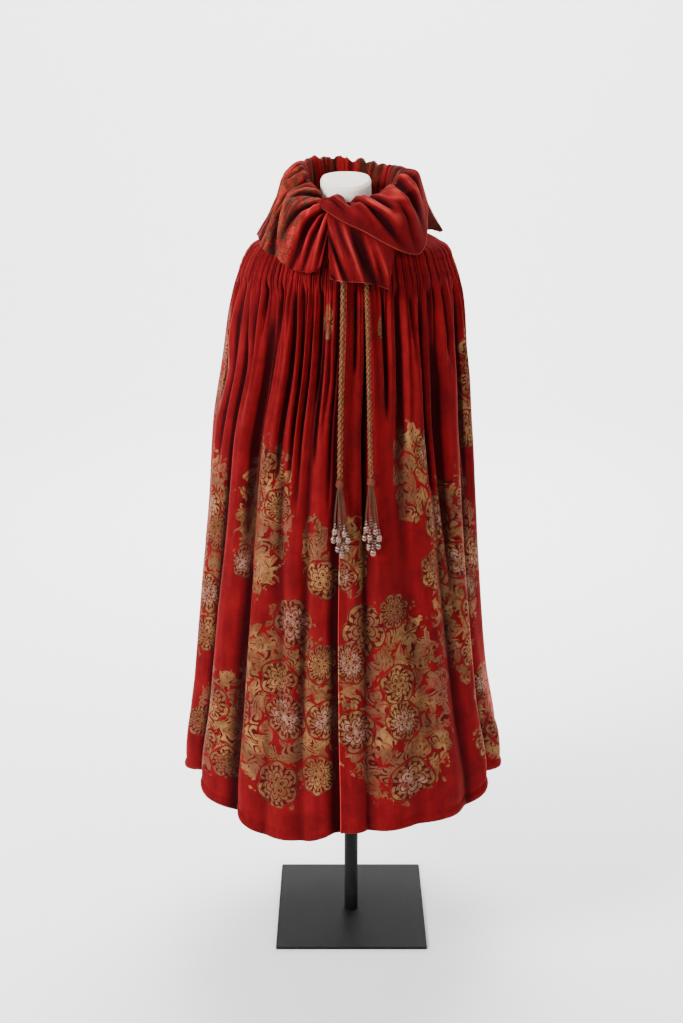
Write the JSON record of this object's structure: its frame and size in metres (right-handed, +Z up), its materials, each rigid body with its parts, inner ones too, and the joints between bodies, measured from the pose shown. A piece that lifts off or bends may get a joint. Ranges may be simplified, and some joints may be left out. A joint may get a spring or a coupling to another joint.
{
  "type": "velvet cloak on a limbless dress form and stand",
  "caption": "Full-length gathered velvet cloak with a ruched crossed collar and tasselled cords, on a limbless dress form on a pole and square plate.",
  "frame": {"origin": "on the floor under the pole's axis, at the underside of the base plate", "axes": "+Z up, -Y the cloak's front opening, +X the viewer's right from the front"},
  "size_m": [0.6275, 0.5876, 1.5369],
  "materials": {
    "velvet": "crimson pile velvet with a stencilled gold and bronze pattern",
    "collar_velvet": "crimson pile velvet, partly stencilled in bronze",
    "form_cover": "smooth off-white cover",
    "black_steel": "satin black powder coat",
    "cord": "plaited silk cord in gold and terracotta",
    "tassel": "striped glass beads on thin cord"
  },
  "bodies": {
    "root": {"base_plate": "black_steel", "pole": "black_steel", "dress_form": "form_cover", "cloak_front_left": "velvet", "cloak_front_right": "velvet", "cloak_back": "velvet", "collar_ruff": "collar_velvet", "collar_end_over": "collar_velvet", "collar_end_hanging": "collar_velvet", "cord_left": "cord", "cord_right": "cord", "tassel_left": "tassel", "tassel_right": "tassel"}
  },
  "joints": []
}
